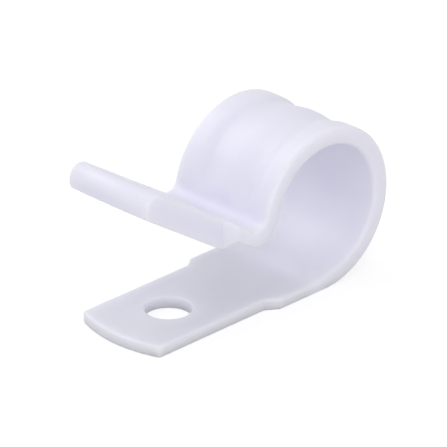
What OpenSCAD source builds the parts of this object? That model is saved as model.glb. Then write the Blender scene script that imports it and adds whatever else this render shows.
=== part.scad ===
// Nylon P clip, moulded open: a round loop for a cable bundle with a flat lower
// screw tab and a thicker upper screw tab that is pulled down onto the lower one.
// Millimetres. X runs out along the lower tab, Y along the axis of the loop, Z is up.
// The origin is the middle of the lower screw hole, on the flat underside of the clip.

/* [Loop] */
// Inside diameter of the loop, the bundle it holds
bundle_d = 16; // [12:0.5:24]
// Wall of the loop, from the bundle to the outside of the rims
wall = 2.2; // [1.8:0.1:2.8]
// Width of the loop and of the strap that runs into both tabs
strap_w = 15; // [13.4:0.1:20]
// Depth of the two shallow grooves round the outside of the loop
groove_depth = 0.45; // [0.2:0.05:0.6]
// Distance from the middle of the loop out to each groove
groove_y = 3.5; // [2.6:0.1:3.7]
// Width of the smooth shoulder between a groove and its rim
shoulder_w = 1.9; // [1.4:0.1:2.2]
// Rounding of the inner edges of the strap
rim_in_r = 0.5; // [0.1:0.05:0.6]
// Rounding of the outer edges of the strap
rim_out_r = 0.4; // [0.1:0.05:0.6]
// Radius of the floor that leads from the lower tab into the loop
floor_r = 14; // [13:0.5:24]

/* [Lower tab] */
// Thickness of the lower tab
tab_t = 1.5; // [1.2:0.1:1.8]
// Width of both tabs
tab_w = 12.7; // [10:0.1:12.8]
// Distance from the loop axis to the start of the lower shoulder
lower_step_x = 7.5; // [6.5:0.1:9]
// Length of the slanted shoulder where the strap narrows to a tab
step_len = 1.55; // [0.8:0.05:2]
// Distance from the loop axis to the screw hole of the lower tab
lower_hole_x = 18.4; // [16:0.1:20]
// Distance from the loop axis to the corners at the end of the lower tab
lower_end_x = 25.9; // [24:0.1:32]
// Diameter of both screw holes
hole_d = 5.5; // [3:0.1:6.5]
// How far the rounded tab ends stand out past their corners
end_bulge = 1.3; // [0.6:0.1:3]

/* [Upper tab] */
// Slope of the upper tab against the lower tab, degrees
tab_angle = 33; // [28:0.5:38]
// Distance from the loop axis down to the upper face of the upper tab
tab_drop = 5.35; // [5:0.05:5.8]
// Thickness of the strap where it folds into the upper tab
fold_t = 1.75; // [1.5:0.05:2]
// Thickness of the upper tab
pad_t = 3.3; // [2.4:0.1:4]
// Distance along the upper tab from the loop axis to its shoulder
upper_step_u = 12.55; // [12:0.05:14]
// Distance along the upper tab from the loop axis to its screw hole
upper_hole_u = 21.2; // [19:0.1:23]
// Distance along the upper tab from the loop axis to its upper end corner
upper_end_u = 29.7; // [28:0.1:34]
// Radius in the hollow between the loop and the upper tab
hollow_r = 1.4; // [1:0.1:1.8]
// Radius of the bend under the hollow
bend_r = 2.9; // [2.4:0.1:3.4]
// Rounding of the top of the upper tab's end
tip_r = 1.6; // [0.4:0.1:2]

/* [Hidden] */
$fn = 128;
EPS = 0.01;
BITE = 0.02;
FAR = 100;
WAVE_STEPS = 20;
in_r = bundle_d / 2;
out_r = in_r + wall;
axis_h = out_r;
hole_r = hole_d / 2;
half_w = strap_w / 2;
under = tab_drop + fold_t;
pad_under = tab_drop + pad_t;
crown_drop = groove_depth / 5;
cs = cos(tab_angle);
sn = sin(tab_angle);
// the slanted end of the pad under the strap keeps to the shoulder seen from above
pad_start_u = (cs * upper_step_u + sn * under + step_len - sn * pad_under) / cs;
upper_step_x = cs * upper_step_u + sn * under;
upper_end_x = cs * upper_end_u + sn * tab_drop;
// end arcs of the tabs, seen from above
end_r = (pow(tab_w / 2, 2) + pow(end_bulge, 2)) / (2 * end_bulge);
// floor arc: touches the top of the lower tab and runs into the bore
floor_z = tab_t + floor_r - EPS;
floor_x = sqrt(pow(floor_r - in_r + EPS, 2) - pow(floor_z - axis_h, 2));
floor_turn = atan2(floor_x, floor_z - axis_h);
// hollow and bend, in the frame of the upper tab round the loop axis
hollow_n = hollow_r - tab_drop;
hollow_u = sqrt(pow(out_r + hollow_r, 2) - pow(hollow_n, 2));
hollow_a = atan2(hollow_n, hollow_u);
bend_n = bend_r - under;
bend_u = sqrt(pow(in_r + bend_r, 2) - pow(bend_n, 2));
bend_a = atan2(bend_n, bend_u);
// first and last angle of the round part of the loop, from +X
loop_a0 = tab_angle + hollow_a;
bore_a0 = tab_angle + bend_a;
bore_a1 = 270 - floor_turn;
groove_r = out_r - groove_depth;
runout_a = acos(groove_r / (out_r + EPS));

// the frame of the upper tab: its origin is the loop axis, its x runs along the tab
module on_tab() {
    translate([0, axis_h]) rotate(tab_angle) children();
}

// a pie slice with its tip on the origin, from angle a to angle b
module pie(len, a, b) {
    polygon([[0, 0], len * [cos(a), sin(a)], len * 1.4 * [cos((a + b) / 2), sin((a + b) / 2)],
             len * [cos(b), sin(b)]]);
}

// everything open on the inside of the loop, in side view
module opening_2d() {
    translate([0, axis_h]) circle(r = in_r);
    polygon([[floor_x, tab_t], [FAR, tab_t], [FAR, FAR * 0.6],
             [cs * FAR * 0.5 + sn * under, axis_h + sn * FAR * 0.5 - cs * under],
             [cs * 3 + sn * under, axis_h + sn * 3 - cs * under],
             [0, axis_h], [floor_x, axis_h - 1]]);
    translate([floor_x, floor_z]) intersection() {
        circle(r = floor_r);
        pie(floor_r * 1.5, 270 - floor_turn, 270);
    }
}

// material in the hollow between the loop and the upper tab
module hollow_fill_2d() {
    depth = hollow_r + 1;
    toward = [-cos(hollow_a), -sin(hollow_a)];
    difference() {
        polygon([[hollow_u, hollow_n], [hollow_u, hollow_n] + depth * toward,
                 [hollow_u - 2.6, hollow_n - depth], [hollow_u, hollow_n - depth]]);
        translate([hollow_u, hollow_n]) circle(r = hollow_r + EPS);
    }
}

// what the bend under the hollow leaves open
module bend_cut_2d() {
    difference() {
        translate([bend_u, bend_n]) pie(in_r + bend_r, 180 + bend_a, 270);
        translate([bend_u, bend_n]) circle(r = bend_r + EPS);
    }
}

// the upper tab in side view, longer than it ends up
module upper_tab_2d() {
    polygon([[6.6, -tab_drop], [upper_end_u + 4, -tab_drop], [upper_end_u + 4, -pad_under],
             [pad_start_u, -pad_under], [upper_step_u, -under], [4.6, -under]]);
}

// loop with the upper tab, in side view
module loop_2d() {
    difference() {
        union() {
            difference() {
                translate([0, axis_h]) circle(r = out_r);
                opening_2d();
            }
            on_tab() upper_tab_2d();
            on_tab() hollow_fill_2d();
        }
        on_tab() bend_cut_2d();
    }
}

// a tab seen from above, with its slanted shoulders and its rounded end
module plan_2d(step_x, end_x) {
    intersection() {
        polygon([[-FAR, -half_w], [step_x, -half_w], [step_x + step_len, -tab_w / 2],
                 [FAR, -tab_w / 2], [FAR, tab_w / 2], [step_x + step_len, tab_w / 2],
                 [step_x, half_w], [-FAR, half_w]]);
        union() {
            translate([end_x + end_bulge - end_r, 0]) circle(r = end_r);
            translate([-FAR, -half_w]) square([FAR + end_x - end_r / 2, strap_w]);
        }
    }
}

// turns a side view into a body that spans the width w
module across(w) {
    translate([0, w / 2, 0]) rotate([90, 0, 0]) linear_extrude(height = w) children();
}

// depth of the outside of the loop below its rims, at the distance y from the middle
function wave(y) =
    y < groove_y
        ? crown_drop + (groove_depth - crown_drop) * (1 - cos(180 * y / groove_y)) / 2
        : groove_depth * (1 + cos(180 * (y - groove_y) / shoulder_w)) / 2;

// the two grooves and the low crown between them, as a cutter section
module wave_2d() {
    edge = groove_y + shoulder_w;
    polygon(concat(
        [for (i = [0:2 * WAVE_STEPS])
            let (y = edge * (i / WAVE_STEPS - 1)) [out_r - wave(abs(y)) + EPS, y]],
        [[out_r + 1, edge], [out_r + 1, -edge]]));
}

// places children round the loop axis, with their angles counted from +X towards +Z
module round_axis() {
    translate([0, 0, axis_h]) rotate([90, 0, 0]) children();
}

module wave_cut() {
    a0 = loop_a0 + runout_a;
    a1 = 270 - runout_a;
    runout = groove_r * tan(runout_a);
    round_axis() {
        rotate(a0) rotate_extrude(angle = a1 - a0) wave_2d();
        rotate(a0) rotate([90, 0, 0]) linear_extrude(height = runout) wave_2d();
        rotate(a1) rotate([90, 0, 0]) translate([0, 0, -runout])
            linear_extrude(height = runout) wave_2d();
    }
}

// section that rounds an edge of the strap: the face is at x = at, and the solid
// lies beyond it (dir = 1) or short of it (dir = -1)
module edge_2d(at, r, dir) {
    in = r - BITE;
    difference() {
        translate([dir > 0 ? at - 0.2 : at - in, half_w - in]) square([in + 0.2, 1]);
        translate([at + dir * in, half_w - in]) circle(r = r);
    }
}

// rounds both edges along an arc from angle a to angle b, and on along its tangent
module edge_run(centre, at, r, dir, a, b, tail = 0, lead = 0) {
    for (side = [0, 1]) mirror([0, side, 0])
        translate([centre[0], 0, centre[1]]) rotate([90, 0, 0]) {
            rotate(a) rotate_extrude(angle = b - a) edge_2d(at, r, dir);
            if (lead > 0)
                rotate(a) rotate([90, 0, 0]) linear_extrude(height = lead) edge_2d(at, r, dir);
            if (tail > 0)
                rotate(b) rotate([90, 0, 0]) translate([0, 0, -tail])
                    linear_extrude(height = tail) edge_2d(at, r, dir);
        }
}

// a place in the frame of the upper tab, seen from the side
function from_tab(u, n) = [cs * u - sn * n, axis_h + sn * u + cs * n];

module edge_cut() {
    axis = [0, axis_h];
    lower_tail = lower_step_x + step_len;
    // inside: under the fold, round the bore and out along the floor
    edge_run(axis, in_r, rim_in_r, 1, bore_a0, bore_a1, 0, 2.5);
    edge_run([floor_x, floor_z], floor_r, rim_in_r, 1, bore_a1, 270, lower_tail - floor_x);
    // outside: from the hollow round the back and out along the underside
    edge_run(axis, out_r, rim_out_r, -1, loop_a0, 270, lower_tail);
}

// rounds the top of the upper tab's end, across its width
module tip_cut() {
    tip_x = upper_end_x + end_bulge + EPS;
    tip_z = axis_h + (tip_x - sn * tab_drop) * sn / cs - cs * tab_drop;
    reach = tip_r / tan(45 - tab_angle / 2);
    centre = [tip_x - tip_r, tip_z - reach];
    across(strap_w) difference() {
        polygon([[tip_x + 1, tip_z - reach], [tip_x + 1, tip_z + 2], [tip_x - 1, tip_z + 1],
                 [tip_x, tip_z] + (reach + 0.01) * [-cs, -sn], centre]);
        translate(centre) circle(r = tip_r);
    }
}

module clip() {
    color("ivory") translate([-lower_hole_x, 0, 0]) difference() {
        union() {
            intersection() {
                across(strap_w) loop_2d();
                translate([0, 0, -1]) linear_extrude(height = FAR)
                    plan_2d(upper_step_x, upper_end_x);
            }
            linear_extrude(height = tab_t) difference() {
                plan_2d(lower_step_x, lower_end_x);
                translate([-2 * FAR, -FAR]) square([2 * FAR, 2 * FAR]);
            }
        }
        wave_cut();
        edge_cut();
        tip_cut();
        translate([lower_hole_x, 0, -1]) cylinder(h = tab_t + 2, r = hole_r);
        translate([0, 0, axis_h]) rotate([0, -tab_angle, 0])
            translate([upper_hole_u, 0, -pad_under - 1]) cylinder(h = pad_t + 2, r = hole_r);
    }
}

clip();
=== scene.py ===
"""A moulded nylon P clip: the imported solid, shown as a soft-edged body in milky natural nylon."""
import logging
import math
from collections import Counter
from dataclasses import dataclass, field
from enum import Enum

import bmesh
import bpy
from mathutils import Matrix, Vector


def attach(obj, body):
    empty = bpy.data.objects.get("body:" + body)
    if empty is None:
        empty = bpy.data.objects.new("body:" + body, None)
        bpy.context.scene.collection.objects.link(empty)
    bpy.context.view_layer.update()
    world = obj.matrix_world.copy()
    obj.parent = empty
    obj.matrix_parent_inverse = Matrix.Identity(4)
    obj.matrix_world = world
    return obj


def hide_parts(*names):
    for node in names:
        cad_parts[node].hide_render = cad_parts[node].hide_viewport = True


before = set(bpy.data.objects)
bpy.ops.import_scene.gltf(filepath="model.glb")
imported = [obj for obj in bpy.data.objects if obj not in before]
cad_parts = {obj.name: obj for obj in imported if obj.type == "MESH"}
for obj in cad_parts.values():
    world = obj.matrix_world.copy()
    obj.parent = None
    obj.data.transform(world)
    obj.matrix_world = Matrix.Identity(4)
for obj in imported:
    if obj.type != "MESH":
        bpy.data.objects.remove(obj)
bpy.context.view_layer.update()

log = logging.getLogger("p_clip")

MM = 0.001
MERGE = 0.002 * MM

Place = tuple[float, float]
Rgb = tuple[float, float, float]
Rim = list[bmesh.types.BMVert]


class Reach(Enum):
    """The stretches of the strap, from the end of the lower tab to the end of the upper one."""

    LOWER_TAB = "lower tab"
    FLOOR = "floor of the loop"
    LOOP = "round of the loop"
    FOLD = "fold under the loop"
    UPPER_TAB = "upper tab"


@dataclass(frozen=True)
class Station:
    """One cross-section of the strap. Places are in side view, in millimetres from the loop axis.

    inner and outer are the middles of the two faces, and half_w is half the width. The two rounds
    are the radii of the edges. turn is the angle round the axis, which a grooved section needs.
    bow is the share of the rounded end that it takes, and slope is how the end climbs. close, lap
    and inset draw the section in where the skin closes at a tab's end.
    """

    inner: Place
    outer: Place
    half_w: float = 7.5
    inner_round: float = 0.5
    outer_round: float = 0.4
    turn: float = 0.0
    grooved: bool = False
    bow: float = 0.0
    slope: float = 0.0
    close: float = 1.0
    lap: float = 0.0
    inset: float = 0.0
    reach: Reach = Reach.LOOP


@dataclass
class Loop:
    """The round of the strap with its bore, its two grooves and the floor that leads into it."""

    bore_r: float = 8.0
    outer_r: float = 10.2
    groove_depth: float = 0.45
    crown_drop: float = 0.09
    groove_y: float = 3.5
    shoulder_w: float = 1.9
    floor_r: float = 14.0
    tab_t: float = 1.5
    fade: float = 0.012
    flat_len: float = 2.9
    steps: int = 72
    floor_steps: int = 12
    runout_steps: int = 10

    @property
    def floor_centre(self) -> Place:
        """The middle of the floor's arc."""
        z = self.tab_t + self.floor_r
        return math.sqrt((self.floor_r - self.bore_r) ** 2 - (z - self.outer_r) ** 2), z

    @property
    def floor_turn(self) -> float:
        """The angle in degrees that the floor's arc turns through."""
        x, z = self.floor_centre
        return math.degrees(math.atan2(x, z - self.outer_r))

    @property
    def runout(self) -> float:
        """The angle in degrees over which a groove runs out straight."""
        return math.degrees(math.acos((self.outer_r - self.groove_depth) / self.outer_r))

    def wave(self, y: float) -> float:
        """How deep the outside lies below the rims.

        Args:
            y: distance from the middle of the strap, in millimetres.

        Returns:
            The depth in millimetres.
        """
        y = abs(y)
        if y < self.groove_y:
            rise = (1 - math.cos(math.pi * y / self.groove_y)) / 2
            return self.crown_drop + (self.groove_depth - self.crown_drop) * rise
        if y < self.groove_y + self.shoulder_w:
            fall = math.cos(math.pi * (y - self.groove_y) / self.shoulder_w)
            return self.groove_depth * (1 + fall) / 2
        return 0.0

    def on(self, radius: float, angle: float) -> Place:
        """A place round the loop axis.

        Args:
            radius: distance from the axis, in millimetres.
            angle: degrees from +X towards +Z.

        Returns:
            The place in side view.
        """
        a = math.radians(angle)
        return radius * math.cos(a), self.outer_r + radius * math.sin(a)

    def depth_at(self, y: float, angle: float, first: float) -> float:
        """The depth of the grooves at a place on the outside, where they run out straight.

        Args:
            y: distance from the middle of the strap.
            angle: degrees round the axis.
            first: the angle at which the round begins at the fold.

        Returns:
            The depth in millimetres, measured towards the axis.
        """
        low, high = first + self.runout, 270.0 - self.runout
        over = max(low - angle, angle - high, 0.0)
        depth = self.outer_r - (self.outer_r - self.wave(y)) / math.cos(math.radians(over))
        eased = (depth + math.sqrt(depth * depth + self.fade * self.fade)) / 2
        return eased - self.fade / 2 * (over > 0)

    def round_ends(self, first: float) -> list[Station]:
        """The two ends of the stretch that is spun.

        Args:
            first: the angle at which the outside begins at the fold.

        Returns:
            The station at the floor and the one where the grooves begin to run out.
        """
        turns = (270 - self.floor_turn, first + self.runout)
        return [Station(self.on(self.bore_r, q), self.on(self.outer_r, q), turn=q, grooved=True)
                for q in turns]

    def floor_stations(self) -> list[Station]:
        """The cross-sections from the flat strap along the floor's arc into the bore.

        Returns:
            The stations in order.
        """
        out = []
        fx, fz = self.floor_centre
        arc = math.radians(self.floor_turn) * self.outer_r
        for i in range(self.floor_steps + 1):
            t = i / self.floor_steps
            a = math.radians(270 - self.floor_turn * t)
            inner = (fx + self.floor_r * math.cos(a), fz + self.floor_r * math.sin(a))
            # the outside runs flat and then round, spread evenly along its length
            run = (self.flat_len + arc) * t
            if run < self.flat_len:
                out.append(Station(inner, (self.flat_len - run, 0.0), reach=Reach.FLOOR))
            else:
                turn = 270 - math.degrees((run - self.flat_len) / self.outer_r)
                out.append(Station(inner, self.on(self.outer_r, turn), turn=turn, grooved=True,
                                   reach=Reach.FLOOR))
        return out

    def runout_stations(self, first: float, bore_first: float) -> list[Station]:
        """The cross-sections over which the grooves run out towards the fold.

        Args:
            first: the angle at which the outside begins at the fold.
            bore_first: the angle at which the bore begins at the fold.

        Returns:
            The stations in order.
        """
        out = []
        start = first + self.runout
        for i in range(1, self.runout_steps + 1):
            t = i / self.runout_steps
            turn = start + (first - start) * t
            inner = self.on(self.bore_r, start + (bore_first - start) * t)
            out.append(Station(inner, self.on(self.outer_r, turn), turn=turn, grooved=True,
                               reach=Reach.FOLD))
        return out


@dataclass
class LowerTab:
    """The flat tab that lies on the panel, with its slanted shoulders and rounded end."""

    thick: float = 1.5
    half_w: float = 6.35
    strap_half_w: float = 7.5
    step_x: float = 7.5
    step_len: float = 1.55
    hole_x: float = 18.4
    hole_r: float = 2.75
    end_x: float = 25.9
    bulge: float = 1.3
    edge_r: float = 0.28
    strap_edge_r: float = 0.45
    under_edge_less: float = 0.04
    bow_from: float = 21.9
    bow_over: float = 3.6
    end_steps: int = 5
    rows: tuple[float, ...] = (25.0, 23.4, 21.9, 14.9, 12.0)
    strap_rows: tuple[float, ...] = (6.0, 4.4)
    near: float = 0.12
    off: float = 0.35
    closing: tuple[Place, ...] = ((0.0, 0.6), (0.5, 0.3))

    @property
    def step_end(self) -> float:
        """Where the slanted shoulder ends."""
        return self.step_x + self.step_len

    def end_bow(self, y: float) -> float:
        """How far the end stands out past its corners.

        Args:
            y: distance from the middle, in millimetres.

        Returns:
            The distance in millimetres.
        """
        r = (self.half_w**2 + self.bulge**2) / (2 * self.bulge)
        return math.sqrt(max(r * r - y * y, 0.0)) - (r - self.bulge)

    def tab_stations(self) -> list[Station]:
        """The cross-sections from the rounded end back to the shoulder.

        Returns:
            The stations in order, the first of them closed to a line.
        """
        out = [self._row(self.end_x, close=close, inset=self.edge_r + inset)
               for close, inset in self.closing]
        for i in range(self.end_steps + 1):
            a = math.pi / 2 * i / self.end_steps
            lap = self.edge_r * (1 - math.sin(a))
            back = self.edge_r * (1 - math.cos(a))
            out.append(self._row(self.end_x - back, lap=lap, inset=lap))
        for x in (*self.rows, self.step_end + self.off):
            out.append(self._row(x, bow=max((x - self.bow_from) / self.bow_over, 0.0)))
        return out

    def shoulder_stations(self) -> list[Station]:
        """The cross-sections from the tab over the shoulder to the full width of the strap.

        Returns:
            The stations in order.
        """
        out = []
        first, last = self.step_x, self.step_end
        for x in (last + self.near, last, last - self.near, last - self.off, first + self.off,
                  first + self.near, first, first - self.near, first - self.off,
                  *self.strap_rows):
            t = min(max((x - first) / self.step_len, 0.0), 1.0)
            half = self.strap_half_w + (self.half_w - self.strap_half_w) * t
            edge = self.strap_edge_r + (self.edge_r - self.strap_edge_r) * t
            out.append(Station((x, self.thick), (x, 0.0), half, edge,
                               edge - self.under_edge_less * (1 - t), reach=Reach.FLOOR))
        return out

    def _row(self, x: float, close: float = 1.0, lap: float = 0.0, inset: float = 0.0,
             bow: float = 1.0) -> Station:
        """One row of the tab, drawn in at its edges near the rounded end.

        Args:
            x: distance from the loop axis.
            close: share of the thickness that is left.
            lap: how far both faces are drawn in.
            inset: how far both sides are drawn in.
            bow: share of the rounded end that the row takes.

        Returns:
            The station.
        """
        return Station((x, self.thick), (x, 0.0), self.half_w, self.edge_r, self.edge_r,
                       bow=bow, close=close, lap=lap, inset=inset, reach=Reach.LOWER_TAB)


@dataclass
class UpperTab:
    """The thicker tab that slopes up, with the fold that joins it to the loop."""

    loop: Loop
    plan: LowerTab
    angle: float = 33.0
    drop: float = 5.35
    fold_t: float = 1.75
    pad_t: float = 3.3
    step_u: float = 12.55
    hole_u: float = 21.2
    end_u: float = 29.7
    hollow_r: float = 1.4
    bend_r: float = 2.9
    tip_r: float = 1.6
    edge_r: float = 0.3
    strap_edge_r: float = 0.4
    bore_edge_r: float = 0.5
    root_x: float = 13.1
    rows: tuple[float, ...] = (17.6, 19.0, 23.6)
    fold_steps: int = 14
    tip_steps: int = 12
    wall_steps: int = 4
    wall_drop: float = 0.05
    closing: tuple[Place, ...] = ((0.5, 0.3), (0.0, 0.6))

    def place(self, u: float, n: float) -> Place:
        """A place given along and across the tab.

        Args:
            u: distance along the tab from the loop axis.
            n: distance above the line through the axis.

        Returns:
            The place in side view.
        """
        a = math.radians(self.angle)
        return (math.cos(a) * u - math.sin(a) * n,
                self.loop.outer_r + math.sin(a) * u + math.cos(a) * n)

    @property
    def hollow(self) -> Place:
        """The middle of the hollow, along and across the tab."""
        n = self.hollow_r - self.drop
        return math.sqrt((self.loop.outer_r + self.hollow_r) ** 2 - n * n), n

    @property
    def bend(self) -> Place:
        """The middle of the bend, along and across the tab."""
        n = self.bend_r - self.drop - self.fold_t
        return math.sqrt((self.loop.bore_r + self.bend_r) ** 2 - n * n), n

    @property
    def loop_from(self) -> float:
        """The angle round the axis at which the outside of the loop begins."""
        return self.angle + math.degrees(math.atan2(self.hollow[1], self.hollow[0]))

    @property
    def bore_from(self) -> float:
        """The angle round the axis at which the bore begins."""
        return self.angle + math.degrees(math.atan2(self.bend[1], self.bend[0]))

    @property
    def step_x(self) -> float:
        """Where the shoulder of the tab begins, seen from above."""
        return self.place(self.step_u, -self.drop - self.fold_t)[0]

    @property
    def end_x(self) -> float:
        """Where the corners of the end stand, seen from above."""
        return self.place(self.end_u, -self.drop)[0]

    def narrowed(self, x: float) -> float:
        """How far the shoulder has run at x, from 0 at its start to 1 at its end."""
        return min(max((x - self.step_x) / self.plan.step_len, 0.0), 1.0)

    def top(self, x: float) -> float:
        """The height of the upper face at x."""
        a = math.radians(self.angle)
        return self.loop.outer_r + x * math.tan(a) - self.drop / math.cos(a)

    def bottom(self, x: float) -> float:
        """The height of the underside, from the strap over the slanted step to the pad.

        Args:
            x: distance from the loop axis.

        Returns:
            The height in millimetres.
        """
        thick = self.fold_t + (self.pad_t - self.fold_t) * self.narrowed(x)
        return self.top(x) - thick / math.cos(math.radians(self.angle))

    def half_width(self, x: float) -> float:
        """Half the width of the strap at x, seen from above."""
        wide = self.plan.strap_half_w
        return wide + (self.plan.half_w - wide) * self.narrowed(x)

    def fold_stations(self) -> list[Station]:
        """The cross-sections round the fold, from the loop to the root of the tab.

        Returns:
            The stations in order.
        """
        out = []
        hu, hn = self.hollow
        bu, bn = self.bend
        h0 = 180 + math.degrees(math.atan2(hn, hu))
        b0 = 180 + math.degrees(math.atan2(bn, bu))
        ease = self.bore_edge_r - self.strap_edge_r
        for i in range(1, self.fold_steps + 1):
            t = i / self.fold_steps
            h = math.radians(h0 + (270 - h0) * t)
            b = math.radians(b0 + (270 - b0) * t)
            outer = self.place(hu + self.hollow_r * math.cos(h), hn + self.hollow_r * math.sin(h))
            inner = self.place(bu + self.bend_r * math.cos(b), bn + self.bend_r * math.sin(b))
            out.append(Station(inner, outer, self.plan.strap_half_w, self.bore_edge_r - ease * t,
                               self.strap_edge_r, reach=Reach.FOLD))
        return out

    def tab_stations(self) -> list[Station]:
        """The cross-sections of the tab, from its root to its rounded end.

        Returns:
            The stations in order, the last of them closed to a line.
        """
        near, off = self.plan.near, self.plan.off
        first, last = self.step_x, self.step_x + self.plan.step_len
        out = [self._row(x) for x in (
            self.root_x, first - off, first - near, first, first + near, first + off,
            last - off, last - near, last, last + near, last + off, *self.rows)]
        return out + self._tip_stations()

    def _row(self, x: float) -> Station:
        """One upright row of the tab at x."""
        edge = self.strap_edge_r if x < self.step_x else self.edge_r
        return Station((x, self.bottom(x)), (x, self.top(x)), self.half_width(x), edge, edge,
                       slope=math.tan(math.radians(self.angle)), reach=Reach.UPPER_TAB)

    def _tip_stations(self) -> list[Station]:
        """The cross-sections round the top of the end, down its wall and closed.

        Returns:
            The stations in order.
        """
        out = []
        slope = math.tan(math.radians(self.angle))
        reach = self.tip_r / math.tan(math.radians(45 - self.angle / 2))
        start = self.end_x - reach * math.cos(math.radians(self.angle))
        cx, cz = self.end_x - self.tip_r, self.top(self.end_x) - reach

        def row(foot: float, lift: float, outer: Place, inset: float, close: float) -> None:
            """Adds one row.

            Args:
                foot: where the row meets the underside.
                lift: how far it stands above the underside there.
                outer: the middle of its outer face.
                inset: how far its sides are drawn in.
                close: share of the thickness that is left.
            """
            out.append(Station((foot, self.bottom(foot) + lift), outer, self.plan.half_w,
                               self.edge_r, self.edge_r, bow=1.0, slope=slope, close=close,
                               inset=inset, reach=Reach.UPPER_TAB))

        for i in range(self.tip_steps + 1):
            a = math.radians(90 + self.angle) * (1 - i / self.tip_steps)
            foot = start + (self.end_x - self.edge_r - start) * (i / self.tip_steps)
            row(foot, 0.0, (cx + self.tip_r * math.cos(a), cz + self.tip_r * math.sin(a)), 0.0, 1.0)
        for i in range(1, self.wall_steps + 1):
            a = math.pi / 2 * i / self.wall_steps
            lap = self.edge_r * (1 - math.cos(a))
            foot = self.end_x - self.edge_r * (1 - math.sin(a))
            row(foot, lap, (self.end_x, cz - self.wall_drop * i), lap, 1.0)
        for close, inset in self.closing:
            row(foot, lap, (self.end_x, cz - self.wall_drop * self.wall_steps), lap + inset, close)
        return out


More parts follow.
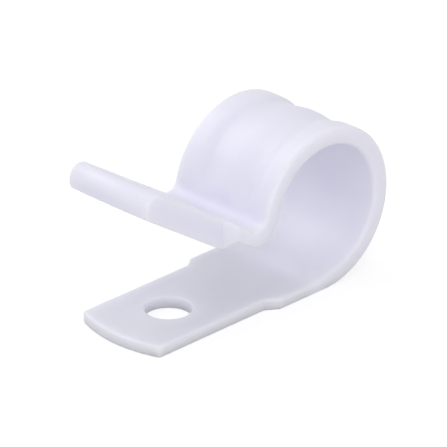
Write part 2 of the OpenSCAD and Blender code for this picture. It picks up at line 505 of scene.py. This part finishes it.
@dataclass
class ClipBody:
    """The whole moulding: lower tab, loop, fold and upper tab in one closed skin."""

    loop: Loop = field(default_factory=Loop)
    lower: LowerTab = field(default_factory=LowerTab)
    columns: int = 44
    corner: int = 5
    walls: int = 2
    fullest: float = 2.05
    hole_sides: int = 96
    hole_soft: float = 0.22
    hole_steps: int = 5
    pin_past: float = 0.5
    pin_gap: float = 0.002
    smooth_angle: float = 38.0
    name: str = "clip_body"

    def __post_init__(self) -> None:
        """Sets up the upper tab, which takes sizes from the other two."""
        self.upper = UpperTab(self.loop, self.lower)

    def section(self, s: Station) -> list[Vector]:
        """The ring of places round the strap at one station.

        Args:
            s: the station.

        Returns:
            Places in metres: across the outside, down one side, back across the inside and up.
        """
        inner, outer = Vector((s.inner[0], 0, s.inner[1])), Vector((s.outer[0], 0, s.outer[1]))
        across = outer - inner
        thick = across.length
        across.normalize()
        half = s.half_w - s.inset
        ro, ri = (min(r, thick / self.fullest) for r in (s.outer_round, s.inner_round))
        low, high = ri, thick - ro
        pts: list[Place] = []
        for j in range(self.columns + 1):
            y = (half - ro) * (2 * j / self.columns - 1)
            dip = self.loop.depth_at(y, s.turn, self.upper.loop_from) if s.grooved else 0.0
            pts.append((y, thick - dip))
        pts += self._corner(half - ro, high, ro, 90, 0)[1:]
        pts += [(half, high * (1 - k / self.walls) + low * (k / self.walls))
                for k in range(1, self.walls)]
        pts += self._corner(half - ri, low, ri, 0, -90)
        pts += [((half - ri) * (1 - 2 * j / self.columns), 0.0) for j in range(1, self.columns)]
        pts += self._corner(-(half - ri), low, ri, 270, 180)
        pts += [(-half, low * (1 - k / self.walls) + high * (k / self.walls))
                for k in range(1, self.walls)]
        pts += self._corner(-(half - ro), high, ro, 180, 90)[:-1]
        ring = []
        for y, t in pts:
            t = thick / 2 + (t - thick / 2) * s.close * (1 - 2 * s.lap / thick)
            dx = self.lower.end_bow(y) * s.bow
            place = inner + across * t + Vector((dx, y, dx * s.slope))
            ring.append((place - Vector((self.lower.hole_x, 0, 0))) * MM)
        return ring

    def _corner(self, y: float, t: float, r: float, a: float, b: float) -> list[Place]:
        """The places round one corner of the section.

        Args:
            y: the middle of the corner's arc, across the strap.
            t: the middle of the arc, through the strap.
            r: the radius.
            a: the angle at which the arc starts, in degrees.
            b: the angle at which it ends.

        Returns:
            The places in order.
        """
        turns = [math.radians(a + (b - a) * k / self.corner) for k in range(self.corner + 1)]
        return [(y + r * math.cos(q), t + r * math.sin(q)) for q in turns]

    def build(self) -> bpy.types.Object:
        """Models the body.

        Returns:
            The finished piece.
        """
        before = self.lower.tab_stations() + self.lower.shoulder_stations()
        before += self.loop.floor_stations()
        ends = self.loop.round_ends(self.upper.loop_from)
        after = self.loop.runout_stations(self.upper.loop_from, self.upper.bore_from)
        after += self.upper.fold_stations() + self.upper.tab_stations()
        for reach, count in Counter(s.reach for s in before + ends + after).items():
            log.info("%s: %d stations", reach.value, count)
        ring = self.section(before[0])
        deselect()
        bpy.ops.mesh.primitive_circle_add(vertices=len(ring), radius=self.lower.half_w * MM)
        piece = bpy.context.object
        piece.name = piece.data.name = self.name
        bpy.ops.object.mode_set(mode="EDIT")
        bpy.ops.mesh.select_all(action="SELECT")
        mesh = bmesh.from_edit_mesh(piece.data)
        mesh.verts.ensure_lookup_table()
        rim = self._in_order(list(mesh.verts))
        self._set(piece, rim, ring)
        for station in before[1:]:
            rim = self._extrude(piece, rim, self.section(station))
        rim = self._spin(piece, ends)
        for station in after:
            rim = self._extrude(piece, rim, self.section(station))
        bpy.ops.mesh.select_all(action="SELECT")
        bpy.ops.mesh.remove_doubles(threshold=MERGE)
        bpy.ops.mesh.normals_make_consistent(inside=False)
        bpy.ops.object.mode_set(mode="OBJECT")
        self._drill(piece)
        self._smooth(piece)
        return piece

    def _in_order(self, verts: Rim) -> Rim:
        """Walks a rim from neighbour to neighbour.

        Args:
            verts: the places of a closed rim, in any order.

        Returns:
            The same places in order.
        """
        out, seen = [verts[0]], {verts[0]}
        while len(out) < len(verts):
            here = out[-1]
            step = next(e.other_vert(here) for e in here.link_edges
                        if e.other_vert(here) not in seen)
            out.append(step)
            seen.add(step)
        return out

    def _set(self, piece: bpy.types.Object, rim: Rim, ring: list[Vector]) -> None:
        """Puts the places of a rim where the section has them.

        Args:
            piece: the object in edit mode.
            rim: the rim's places in order.
            ring: where they go.
        """
        for vert, place in zip(rim, ring):
            vert.co = place
        bmesh.update_edit_mesh(piece.data)

    def _extrude(self, piece: bpy.types.Object, rim: Rim, ring: list[Vector]) -> Rim:
        """Extrudes the selected rim to the next section.

        Args:
            piece: the object in edit mode.
            rim: the rim's places in order.
            ring: where the new rim goes.

        Returns:
            The new rim, in the same order.
        """
        indices = [v.index for v in rim]
        bpy.ops.mesh.extrude_region_move()
        mesh = bmesh.from_edit_mesh(piece.data)
        mesh.verts.ensure_lookup_table()
        mesh.verts.index_update()
        new = []
        for vert in (mesh.verts[i] for i in indices):
            others = (e.other_vert(vert) for e in vert.link_edges)
            new.append(next(v for v in others if v.select))
        self._set(piece, new, ring)
        return new

    def _spin(self, piece: bpy.types.Object, ends: list[Station]) -> Rim:
        """Spins the selected rim round the loop axis, from the floor to the grooves' run-out.

        Args:
            piece: the object in edit mode.
            ends: the stations at both ends of the round.

        Returns:
            The rim at the far end, in the order of its section.
        """
        centre = Vector((-self.lower.hole_x, 0, self.loop.outer_r)) * MM
        turn = math.radians(ends[1].turn - ends[0].turn)
        target = self.section(ends[1])
        bpy.ops.mesh.spin(steps=self.loop.steps, angle=turn, center=centre, axis=(0, 1, 0))
        mesh = bmesh.from_edit_mesh(piece.data)
        mesh.verts.ensure_lookup_table()
        mesh.verts.index_update()
        found = self._in_order([v for v in mesh.verts if v.select])
        start = min(range(len(found)), key=lambda i: (found[i].co - target[0]).length)
        found = found[start:] + found[:start]
        if (found[1].co - target[1]).length > (found[-1].co - target[1]).length:
            found = [found[0]] + found[:0:-1]
        miss = max((v.co - t).length for v, t in zip(found, target)) / MM
        log.info("the round ends %.4f mm from its section", miss)
        return found

    def _drill(self, piece: bpy.types.Object) -> None:
        """Cuts the two screw holes, each with a soft edge at both faces.

        Args:
            piece: the body.
        """
        low = Matrix.Translation(Vector((0, 0, self.lower.thick / 2 * MM)))
        x, z = self.upper.place(self.upper.hole_u, -self.upper.drop - self.upper.pad_t / 2)
        high = Matrix.Translation(Vector(((x - self.lower.hole_x) * MM, 0, z * MM)))
        high = high @ Matrix.Rotation(-math.radians(self.upper.angle), 4, "Y")
        for label, place, thick in (("lower", low, self.lower.thick),
                                    ("upper", high, self.upper.pad_t)):
            pin = self._pin(label, thick, place)
            pick(piece)
            cut = piece.modifiers.new("hole_" + label, "BOOLEAN")
            cut.operation, cut.solver, cut.object = "DIFFERENCE", "EXACT", pin
            bpy.ops.object.modifier_apply(modifier=cut.name)
            bpy.data.objects.remove(pin, do_unlink=True)

    def _pin(self, label: str, thick: float, place: Matrix) -> bpy.types.Object:
        """A pin with a rounded flare at each face of the tab.

        Args:
            label: which tab the hole is in.
            thick: the tab's thickness in millimetres.
            place: where the pin stands.

        Returns:
            The pin, ready to be taken away from the body.
        """
        r, soft, half = self.lower.hole_r, self.hole_soft, thick / 2
        z0, w0 = -(half + self.pin_past), r + soft
        deselect()
        bpy.ops.mesh.primitive_circle_add(vertices=self.hole_sides, radius=w0 * MM,
                                          fill_type="NGON", location=(0, 0, z0 * MM))
        pin = bpy.context.object
        pin.name = "pin_" + label
        bpy.ops.object.transform_apply(location=True)
        bpy.ops.object.mode_set(mode="EDIT")
        bpy.ops.mesh.select_all(action="SELECT")
        rows = [(-(half + self.pin_gap), r + soft)]
        for i in range(1, self.hole_steps + 1):
            a = math.pi / 2 * i / self.hole_steps
            rows.append((soft * (1 - math.cos(a)) - half, r + soft * (1 - math.sin(a))))
        rows += [(-z, w) for z, w in reversed(rows)] + [(half + self.pin_past, r + soft)]
        for z, w in rows:
            bpy.ops.mesh.extrude_region_move(
                TRANSFORM_OT_translate={"value": (0, 0, (z - z0) * MM)})
            bpy.ops.transform.resize(value=(w / w0, w / w0, 1.0), center_override=(0, 0, z * MM))
            z0, w0 = z, w
        bpy.ops.mesh.select_all(action="SELECT")
        bpy.ops.mesh.normals_make_consistent(inside=False)
        bpy.ops.object.mode_set(mode="OBJECT")
        pin.data.transform(place)
        return pin

    def _smooth(self, piece: bpy.types.Object) -> None:
        """Shades the skin smooth and keeps its flat faces flat.

        Args:
            piece: the body.
        """
        pick(piece)
        bpy.ops.object.mode_set(mode="EDIT")
        bpy.ops.mesh.select_all(action="SELECT")
        bpy.ops.mesh.remove_doubles(threshold=MERGE)
        bpy.ops.object.mode_set(mode="OBJECT")
        bpy.ops.object.shade_smooth_by_angle(angle=math.radians(self.smooth_angle))
        even = piece.modifiers.new("even_normals", "WEIGHTED_NORMAL")
        even.keep_sharp = True
        even.weight = 60
        bpy.ops.object.modifier_apply(modifier=even.name)


def deselect() -> None:
    """Leaves nothing selected, so that an operator acts only on what follows."""
    if bpy.context.object and bpy.context.object.mode != "OBJECT":
        bpy.ops.object.mode_set(mode="OBJECT")
    bpy.ops.object.select_all(action="DESELECT")


def pick(piece: bpy.types.Object) -> None:
    """Selects one object and makes it active.

    Args:
        piece: the object to work on.
    """
    deselect()
    piece.select_set(True)
    bpy.context.view_layer.objects.active = piece


def linear(rgb: Rgb) -> tuple[float, float, float, float]:
    """Turns a screen colour into the linear colour that a shader takes.

    Args:
        rgb: red, green and blue from 0 to 255.

    Returns:
        The colour with an alpha of 1.
    """
    shares = [c / 255 for c in rgb]
    flat = [c / 12.92 if c <= 0.04045 else ((c + 0.055) / 1.055) ** 2.4 for c in shares]
    return (*flat, 1.0)


@dataclass(frozen=True)
class NaturalNylon:
    """Undyed nylon as moulded: milky, faintly blue, satin, with a soft glow in thin places."""

    name: str = "natural_nylon"
    body: Rgb = (229, 228, 240)
    cloud: Rgb = (223, 222, 235)
    roughness: float = 0.42
    ior: float = 1.53
    scatter: float = 0.8
    scatter_mm: Rgb = (3.4, 3.2, 3.6)
    grain: float = 0.25
    grain_mm: float = 0.03

    def dress(self, piece: bpy.types.Object) -> bpy.types.Material:
        """Makes the material and puts it on a piece.

        Args:
            piece: the piece to dress.

        Returns:
            The material.
        """
        mat = bpy.data.materials.new(self.name)
        mat.use_nodes = True
        nodes, links = mat.node_tree.nodes, mat.node_tree.links
        shader = nodes["Principled BSDF"]
        coords = nodes.new("ShaderNodeTexCoord")
        skin = nodes.new("ShaderNodeGroup")
        skin.node_tree = moulded_skin()
        skin.inputs["Body"].default_value = linear(self.body)
        skin.inputs["Cloud"].default_value = linear(self.cloud)
        skin.inputs["Roughness"].default_value = self.roughness
        bump = nodes.new("ShaderNodeBump")
        bump.inputs["Strength"].default_value = self.grain
        bump.inputs["Distance"].default_value = self.grain_mm * MM
        links.new(coords.outputs["Object"], skin.inputs["Vector"])
        links.new(skin.outputs["Color"], shader.inputs["Base Color"])
        links.new(skin.outputs["Roughness"], shader.inputs["Roughness"])
        links.new(skin.outputs["Height"], bump.inputs["Height"])
        links.new(bump.outputs["Normal"], shader.inputs["Normal"])
        shader.inputs["Subsurface Weight"].default_value = self.scatter
        shader.inputs["Subsurface Radius"].default_value = tuple(v * MM for v in self.scatter_mm)
        shader.inputs["Subsurface Scale"].default_value = 1.0
        shader.inputs["IOR"].default_value = self.ior
        piece.data.materials.clear()
        piece.data.materials.append(mat)
        return mat


def moulded_skin(clouds_at: float = 140, patches_at: float = 420, grain_at: float = 5200,
                 spread: float = 0.06) -> bpy.types.NodeTree:
    """The shared effect of a moulded plastic skin: clouds of colour, satin patches, fine grain.

    Args:
        clouds_at: scale of the clouds, per metre.
        patches_at: scale of the satin patches.
        grain_at: scale of the grain.
        spread: how far the patches raise or lower the roughness.

    Returns:
        The node group, made once.
    """
    name = "moulded_skin"
    if name in bpy.data.node_groups:
        return bpy.data.node_groups[name]
    group = bpy.data.node_groups.new(name, "ShaderNodeTree")
    nodes, links = group.nodes, group.links
    for label, way, kind in (("Vector", "INPUT", "Vector"), ("Body", "INPUT", "Color"),
                             ("Cloud", "INPUT", "Color"), ("Roughness", "INPUT", "Float"),
                             ("Color", "OUTPUT", "Color"), ("Roughness", "OUTPUT", "Float"),
                             ("Height", "OUTPUT", "Float")):
        group.interface.new_socket(label, in_out=way, socket_type="NodeSocket" + kind)
    inp, out = nodes.new("NodeGroupInput"), nodes.new("NodeGroupOutput")

    def noise(scale: float, detail: float) -> bpy.types.Node:
        """A noise over the piece.

        Args:
            scale: how fine it is, per metre.
            detail: how many finer layers it has.

        Returns:
            The noise node.
        """
        node = nodes.new("ShaderNodeTexNoise")
        node.inputs["Scale"].default_value = scale
        node.inputs["Detail"].default_value = detail
        links.new(inp.outputs["Vector"], node.inputs["Vector"])
        return node

    clouds, patches, grain = noise(clouds_at, 3), noise(patches_at, 4), noise(grain_at, 2)
    tone = nodes.new("ShaderNodeMix")
    tone.data_type = "RGBA"
    links.new(clouds.outputs["Fac"], tone.inputs["Factor"])
    links.new(inp.outputs["Body"], tone.inputs[6])
    links.new(inp.outputs["Cloud"], tone.inputs[7])
    links.new(tone.outputs[2], out.inputs["Color"])
    satin = nodes.new("ShaderNodeMapRange")
    satin.inputs["To Min"].default_value = -spread
    satin.inputs["To Max"].default_value = spread
    links.new(patches.outputs["Fac"], satin.inputs["Value"])
    add = nodes.new("ShaderNodeMath")
    add.operation = "ADD"
    links.new(inp.outputs["Roughness"], add.inputs[0])
    links.new(satin.outputs["Result"], add.inputs[1])
    links.new(add.outputs[0], out.inputs["Roughness"])
    links.new(grain.outputs["Fac"], out.inputs["Height"])
    return group


@dataclass(frozen=True)
class Lamp:
    """A square soft lamp: its place in metres, its power in watts and its linear colour."""

    name: str
    place: Rgb
    watts: float
    tint: Rgb
    size: float = 0.40


@dataclass
class Studio:
    """A white table, an even surround, three soft lamps and the camera."""

    eye: Rgb = (0.35775, 0.36661, 0.26233)
    azimuth: float = 45.007
    elevation: float = 26.021
    roll: float = 0.133
    lens: float = 402.68
    surround: float = 0.66
    table_size: float = 6.0
    table_bounce: float = 0.8
    table_shade: float = 0.35
    table_glow: float = 0.72
    aim: Rgb = (-0.012, 0, 0.008)
    lamps: tuple[Lamp, ...] = (
        Lamp("key", (0.29, 0.40, 0.45), 0.95, (0.95, 0.97, 1.0)),
        Lamp("fill", (0.24, 0.56, 0.16), 0.45, (1.0, 0.94, 0.93)),
        Lamp("back", (0.06, -0.42, 0.42), 1.05, (0.92, 0.95, 1.0)),
    )

    def build(self) -> None:
        """Makes the table, the light and the camera."""
        self._table()
        self._surround()
        for lamp in self.lamps:
            self._hang(lamp)
        self._camera()

    def _table(self) -> None:
        """Lays the table, which shows white to the camera and keeps the clip's shadow."""
        deselect()
        bpy.ops.mesh.primitive_plane_add(size=self.table_size, location=(0, 0, 0))
        table = bpy.context.object
        table.name = "table"
        mat = bpy.data.materials.new("table_white")
        mat.use_nodes = True
        nodes, links = mat.node_tree.nodes, mat.node_tree.links
        nodes.clear()
        out = nodes.new("ShaderNodeOutputMaterial")
        matt = nodes.new("ShaderNodeBsdfDiffuse")
        matt.inputs["Color"].default_value = (*(self.table_bounce,) * 3, 1)
        lit = nodes.new("ShaderNodeBsdfDiffuse")
        lit.inputs["Color"].default_value = (*(self.table_shade,) * 3, 1)
        glow = nodes.new("ShaderNodeEmission")
        glow.inputs["Strength"].default_value = self.table_glow
        both = nodes.new("ShaderNodeAddShader")
        path = nodes.new("ShaderNodeLightPath")
        seen = nodes.new("ShaderNodeMath")
        seen.operation = "MAXIMUM"
        mix = nodes.new("ShaderNodeMixShader")
        links.new(lit.outputs[0], both.inputs[0])
        links.new(glow.outputs[0], both.inputs[1])
        links.new(path.outputs["Is Camera Ray"], seen.inputs[0])
        links.new(path.outputs["Is Glossy Ray"], seen.inputs[1])
        links.new(seen.outputs[0], mix.inputs["Fac"])
        links.new(matt.outputs[0], mix.inputs[1])
        links.new(both.outputs[0], mix.inputs[2])
        links.new(mix.outputs[0], out.inputs["Surface"])
        table.data.materials.append(mat)

    def _surround(self) -> None:
        """Sets the even surround, which lights the clip and shows white to the camera."""
        world = bpy.data.worlds.new("surround")
        bpy.context.scene.world = world
        world.use_nodes = True
        nodes, links = world.node_tree.nodes, world.node_tree.links
        nodes.clear()
        out = nodes.new("ShaderNodeOutputWorld")
        path = nodes.new("ShaderNodeLightPath")
        mix = nodes.new("ShaderNodeMixShader")
        links.new(path.outputs["Is Camera Ray"], mix.inputs["Fac"])
        for slot, strength in ((1, self.surround), (2, 1.0)):
            sky = nodes.new("ShaderNodeBackground")
            sky.inputs["Color"].default_value = (1, 1, 1, 1)
            sky.inputs["Strength"].default_value = strength
            links.new(sky.outputs[0], mix.inputs[slot])
        links.new(mix.outputs[0], out.inputs["Surface"])

    def _hang(self, lamp: Lamp) -> None:
        """Hangs one lamp so that it looks at the clip.

        Args:
            lamp: the lamp.
        """
        data = bpy.data.lights.new(lamp.name, "AREA")
        data.size, data.energy, data.color = lamp.size, lamp.watts, lamp.tint
        light = bpy.data.objects.new(lamp.name, data)
        light.location = lamp.place
        towards = Vector(self.aim) - Vector(lamp.place)
        light.rotation_euler = towards.to_track_quat("-Z", "Y").to_euler()
        bpy.context.scene.collection.objects.link(light)

    def _camera(self) -> None:
        """Sets up the camera, far off with a long lens and a slight roll."""
        a, e, roll = (math.radians(v) for v in (self.azimuth, self.elevation, self.roll))
        back = Vector((math.sin(a) * math.cos(e), math.cos(a) * math.cos(e), math.sin(e)))
        level = Vector((-math.cos(a), math.sin(a), 0))
        upright = back.cross(level)
        right = math.cos(roll) * level + math.sin(roll) * upright
        up = -math.sin(roll) * level + math.cos(roll) * upright
        data = bpy.data.cameras.new("camera")
        data.lens, data.sensor_width = self.lens, 36.0
        data.clip_start, data.clip_end = 0.05, 20.0
        camera = bpy.data.objects.new("camera", data)
        bpy.context.scene.collection.objects.link(camera)
        stand = Matrix((right, up, back)).transposed().to_4x4()
        stand.translation = Vector(self.eye)
        camera.matrix_world = stand
        bpy.context.scene.camera = camera


def main() -> None:
    """Builds the clip and its studio."""
    logging.basicConfig(level=logging.INFO, format="%(name)s: %(message)s")
    bpy.context.scene.view_settings.view_transform = "Standard"
    body = ClipBody().build()
    NaturalNylon().dress(body)
    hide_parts("clip")
    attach(body, "root")
    log.info("%s: %d faces", body.name, len(body.data.polygons))
    Studio().build()


if __name__ == "__main__":
    main()
